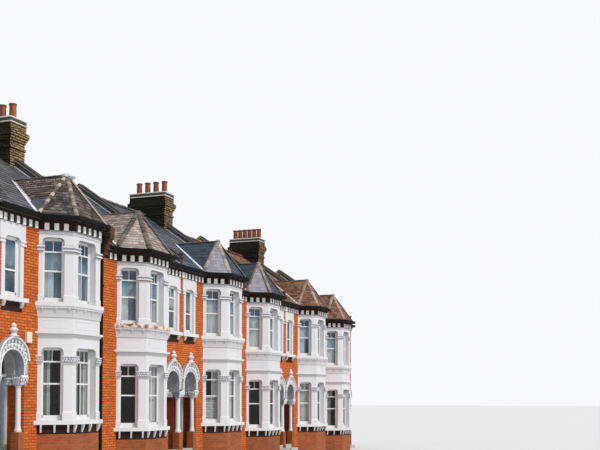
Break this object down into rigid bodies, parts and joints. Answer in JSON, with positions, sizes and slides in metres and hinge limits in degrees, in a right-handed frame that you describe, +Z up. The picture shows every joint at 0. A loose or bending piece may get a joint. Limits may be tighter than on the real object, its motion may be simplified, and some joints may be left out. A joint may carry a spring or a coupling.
{
  "type": "terraced house row",
  "caption": "Stepped row of brick terraced houses with canted bays under pointed roofs, paired arched porches, parapet walls, chimney stacks and hinged front doors",
  "frame": {"origin": "bottom centre of the bounding box, on the lowest ground of the row", "axes": "+X along the row towards its lower end, +Y from the street front to the rear, +Z up"},
  "size_m": [29.1, 9.42, 11.81],
  "materials": {
    "brick": "orange-red brick in fine joints",
    "base_brick": "orange brick",
    "stack_brick": "sooty yellow stock brick",
    "painted_stone": "painted white, matt",
    "carved_stone": "bare carved stone",
    "step_stone": "worn stone",
    "slate": "slates, weathered",
    "clay": "fired clay, unglazed",
    "gutter_iron": "black paint",
    "window_paint": "white gloss paint",
    "window_glass": "clear",
    "floor_boards": "bare boards",
    "door_paint": "painted",
    "hinge_brass": "dull"
  },
  "bodies": {
    "house_row": {"bay_bases": "base_brick", "bay_capitals": "painted_stone", "bay_hip_tiles": "clay", "bay_roofs": "slate", "bay_sills": "painted_stone", "bay_spandrels": "painted_stone", "bay_window_frames": "window_paint", "bay_window_glass": "window_glass", "chimney_caps": "painted_stone", "chimney_pots": "clay", "chimney_stacks": "stack_brick", "dentils": "painted_stone", "door_frames": "window_paint", "door_hinges": "hinge_brass", "downpipe": "gutter_iron", "eaves_courses": "brick", "fanlights": "window_glass", "first_floors": "floor_boards", "front_piers": "brick", "front_roof_slopes": "slate", "ground_floors": "floor_boards", "gutters": "gutter_iron", "kneelers": "brick", "lower_bay_heads": "painted_stone", "lower_bay_piers": "painted_stone", "party_wall_copings": "painted_stone", "party_walls": "brick", "porch_arches": "carved_stone", "porch_capitals": "painted_stone", "porch_columns": "painted_stone", "porch_finials": "painted_stone", "porch_friezes": "painted_stone", "porch_pedestals": "base_brick", "porch_recess_walls": "brick", "porch_steps": "step_stone", "porch_vaults": "painted_stone", "porch_window_frames": "window_paint", "porch_window_glass": "window_glass", "porch_window_sills": "painted_stone", "porch_window_surrounds": "painted_stone", "rear_roof_slopes": "slate", "rear_walls": "brick", "rear_window_frames": "window_paint", "rear_window_glass": "window_glass", "rear_window_sills": "painted_stone", "ridge_tiles": "clay", "spandrel_coves": "painted_stone", "string_courses": "painted_stone", "upper_bay_heads": "painted_stone", "upper_bay_piers": "painted_stone", "walls_over_porch": "brick"},
    "door_a": {"front_door_a": "door_paint"},
    "door_b": {"front_door_b": "door_paint"},
    "door_c": {"front_door_c": "door_paint"},
    "door_d": {"front_door_d": "door_paint"},
    "door_e": {"front_door_e": "door_paint"},
    "door_f": {"front_door_f": "door_paint"}
  },
  "joints": [
    {"name": "door_a_swing", "type": "hinge", "parent": "house_row", "child": "door_a", "pos_m": [-14.2235, -3.167, 2.198], "axis": [0, 0, 1], "range_deg": [0, 90]},
    {"name": "door_b_swing", "type": "hinge", "parent": "house_row", "child": "door_b", "pos_m": [-4.9765, -3.167, 1.898], "axis": [0, 0, -1], "range_deg": [0, 90]},
    {"name": "door_c_swing", "type": "hinge", "parent": "house_row", "child": "door_c", "pos_m": [-4.6235, -3.167, 1.898], "axis": [0, 0, 1], "range_deg": [0, 90]},
    {"name": "door_d_swing", "type": "hinge", "parent": "house_row", "child": "door_d", "pos_m": [4.6235, -3.167, 1.598], "axis": [0, 0, -1], "range_deg": [0, 90]},
    {"name": "door_e_swing", "type": "hinge", "parent": "house_row", "child": "door_e", "pos_m": [4.9765, -3.167, 1.598], "axis": [0, 0, 1], "range_deg": [0, 90]},
    {"name": "door_f_swing", "type": "hinge", "parent": "house_row", "child": "door_f", "pos_m": [14.2235, -3.167, 1.298], "axis": [0, 0, -1], "range_deg": [0, 90]}
  ]
}
